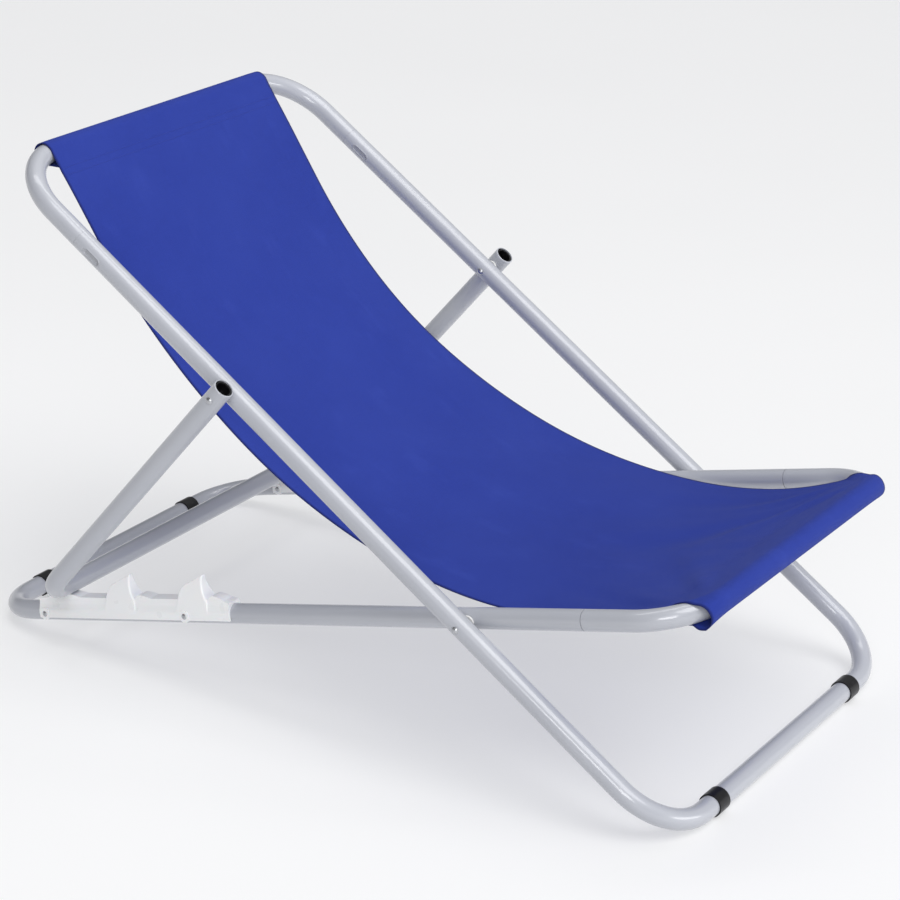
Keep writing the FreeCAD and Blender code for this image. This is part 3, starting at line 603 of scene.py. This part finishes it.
def stitches(name, points, normals, row_at, body):
    """A line of stitches across the panel at each place in row_at."""
    vertices, faces = [], []
    for at in row_at:
        low = int(at)
        t = at - low
        line = points[low] * (1 - t) + points[low + 1] * t
        normal = normals[low] * (1 - t) + normals[low + 1] * t
        along = np.concatenate([[0], np.cumsum(np.linalg.norm(np.diff(line, axis=0), axis=1))])
        for start in np.arange(0.004, along[-1] - 0.004, STITCH_PITCH):
            middle = start + STITCH / 2
            place = at_length(middle, along, line)
            out = at_length(middle, along, normal)
            out /= np.linalg.norm(out)
            ahead = at_length(middle + 0.001, along, line) - place
            ahead /= np.linalg.norm(ahead)
            more_points, more_faces = one_stitch(place, ahead, out, len(vertices))
            vertices += more_points
            faces += more_faces
    mesh = bpy.data.meshes.new(name)
    mesh.from_pydata([tuple(v) for v in vertices], [], faces)
    obj = smooth_object(name, mesh)
    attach(obj, body)
    return obj


# --------------------------------------------------------------- build: sling
def folded(points, rows, on_panel, stops, across, down):
    """The sling's points with its folds, slack and seam grooves."""
    from_head, from_seat = down - stops[1], stops[2] - down
    lift = creases(across, from_seat, from_head, down)
    for from_bar, room in ((from_head, HEAD_SLEEVE), (from_seat, SEAT_SLEEVE)):
        for at in seam_lines(room):
            lift += seam_dip(from_bar - at, across)
    lift *= on_panel[:, None]
    for to_end, from_bar, room in ((rows, rows - stops[1], HEAD_SLEEVE),
                                   (rows[-1] - rows, stops[2] - rows, SEAT_SLEEVE)):
        lift += loose_layer_lift(lift, to_end, from_bar, on_panel, room)
    return points + normals_of(points) * lift[..., None]


points, rows, on_panel, stops, share = sling_grid()
lengths = np.linalg.norm(np.diff(points, axis=1), axis=-1).sum(1)
across = share[None, :] * lengths[:, None] / 2
down = rows[:, None] * np.ones_like(share)[None, :]
points = folded(points, rows, on_panel, stops, across, down)
from_edge = (1 - np.abs(share))[None, :] * lengths[:, None] / 2
selvedge = np.clip(1 - from_edge / SELVEDGE, 0, 1) * 0.85
sling = grid_mesh("sling", points, np.stack([across, down], -1), selvedge)
thick = sling.modifiers.new("thickness", "SOLIDIFY")
thick.thickness = CANVAS
thick.offset = 0
sling.data.materials.append(canvas_cloth())
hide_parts("sling_seat", "sling_back")
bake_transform(sling)

normals = normals_of(points)
number = np.arange(len(rows))
head_rows = [np.interp(stops[1] + at, rows, number) for at in seam_lines(HEAD_SLEEVE)]
seat_rows = [np.interp(stops[2] - at, rows, number) for at in seam_lines(SEAT_SLEEVE)]
thread = sewing_thread()
seams = [stitches("stitches_head", points, normals, head_rows, "back_frame"),
         stitches("stitches_seat", points, normals, seat_rows, "base")]
for seam in seams:
    seam.data.materials.append(thread)

# ------------------------------------------------------- finishes on CAD nodes
FINISH = {
    "powder_coat": powder_coat(),
    "rack_plastic": rack_plastic(),
    "black_plastic": black_plastic(),
    "rivet_steel": rivet_steel(),
    "spacer_plastic": spacer_plastic(),
}
for entry in frame["record"]["subparts"]:
    finish = FINISH.get(entry["material_slot"])
    if finish is None:
        continue
    node = frame["nodes"][entry["node"]]
    node.data.materials.clear()
    node.data.materials.append(finish)


# ------------------------------------------------------- floor, light, camera
def stage_floor():
    """The floor, a hair under the feet."""
    mesh = bpy.data.meshes.new("floor")
    corners = [(x * FLOOR_HALF, y * FLOOR_HALF, 0) for x, y in ((-1, -1), (1, -1), (1, 1), (-1, 1))]
    mesh.from_pydata(corners, [], [(0, 1, 2, 3)])
    floor = bpy.data.objects.new("floor", mesh)
    floor.location.z = -FLOOR_GAP
    bpy.context.scene.collection.objects.link(floor)
    mesh.materials.append(lit_floor())


def softbox(name, place, aim, size, watts):
    """A rectangular lamp at place, turned to aim."""
    light = bpy.data.lights.new(name, "AREA")
    light.shape = "RECTANGLE"
    light.size, light.size_y = size
    light.energy = watts
    lamp = bpy.data.objects.new(name, light)
    lamp.location = place
    lamp.rotation_euler = (Vector(aim) - Vector(place)).to_track_quat("-Z", "Y").to_euler()
    bpy.context.scene.collection.objects.link(lamp)


def sun(name, toward, angle, strength):
    """Light from a wide patch of sky, angle degrees across."""
    light = bpy.data.lights.new(name, "SUN")
    light.energy = strength
    light.angle = math.radians(angle)
    lamp = bpy.data.objects.new(name, light)
    lamp.rotation_euler = (-Vector(toward)).to_track_quat("-Z", "Y").to_euler()
    bpy.context.scene.collection.objects.link(lamp)


def studio():
    """A room, dim behind the chair and pale at the horizon, with a soft key, two boxes and a strip."""
    world = bpy.data.worlds.new("studio")
    world.use_nodes = True
    g = Graph(world, "Background")
    toward = g.add("ShaderNodeTexCoord")
    height = g.add("ShaderNodeSeparateXYZ", {0: toward}, 2)
    rear = (-0.54, 0.84, 0.0)
    rearward = g.add("ShaderNodeVectorMath", {0: toward, 1: rear}, 1, operation="DOT_PRODUCT")
    dim_behind = g.ramp(rearward, -0.3, 0.7, 1.0, 0.2)
    dome = g.math("MULTIPLY", g.ramp(height, 0.05, 0.75, 0.12, 0.62), dim_behind)
    horizon = g.ramp(height, 0.08, 0.18, 0.70, 0.0)
    g.feed("Strength", g.math("ADD", dome, horizon))
    g.shader.inputs["Color"].default_value = (0.98, 0.985, 1.0, 1)
    bpy.context.scene.world = world
    sun("sky", (-0.12, -0.52, 1.0), 42, 1.55)
    softbox("box_side", (-3.0, -1.7, 1.7), (0, 0, 0.25), (1.6, 1.2), 46)
    softbox("box_front", (0.9, -3.2, 0.75), (0, -0.3, 0.25), (1.8, 0.7), 26)
    softbox("strip_over", (0.4, 0.35, 2.5), (0, -0.05, 0.2), (2.6, 0.4), 14)


def camera():
    """The camera at the place and angle that the chair is seen from."""
    yaw, pitch, roll = CAMERA_YAW, CAMERA_PITCH, CAMERA_ROLL
    back = Vector((math.sin(yaw) * math.cos(pitch), -math.cos(yaw) * math.cos(pitch), math.sin(pitch)))
    right = (-back).cross(Vector((0, 0, 1))).normalized()
    up = right.cross(-back)
    c, s = math.cos(roll), math.sin(roll)
    right, up = c * right + s * up, -s * right + c * up
    data = bpy.data.cameras.new("camera")
    data.sensor_width = 36.0
    data.lens = CAMERA_LENS
    data.clip_start, data.clip_end = 0.05, 100
    cam = bpy.data.objects.new("camera", data)
    turned = Matrix((right, up, back)).transposed().to_4x4()
    cam.matrix_world = Matrix.Translation(CAMERA_PLACE) @ turned
    bpy.context.scene.collection.objects.link(cam)
    bpy.context.scene.camera = cam


stage_floor()
studio()
camera()
view = bpy.context.scene.view_settings
view.view_transform = "Standard"
view.look = "None"
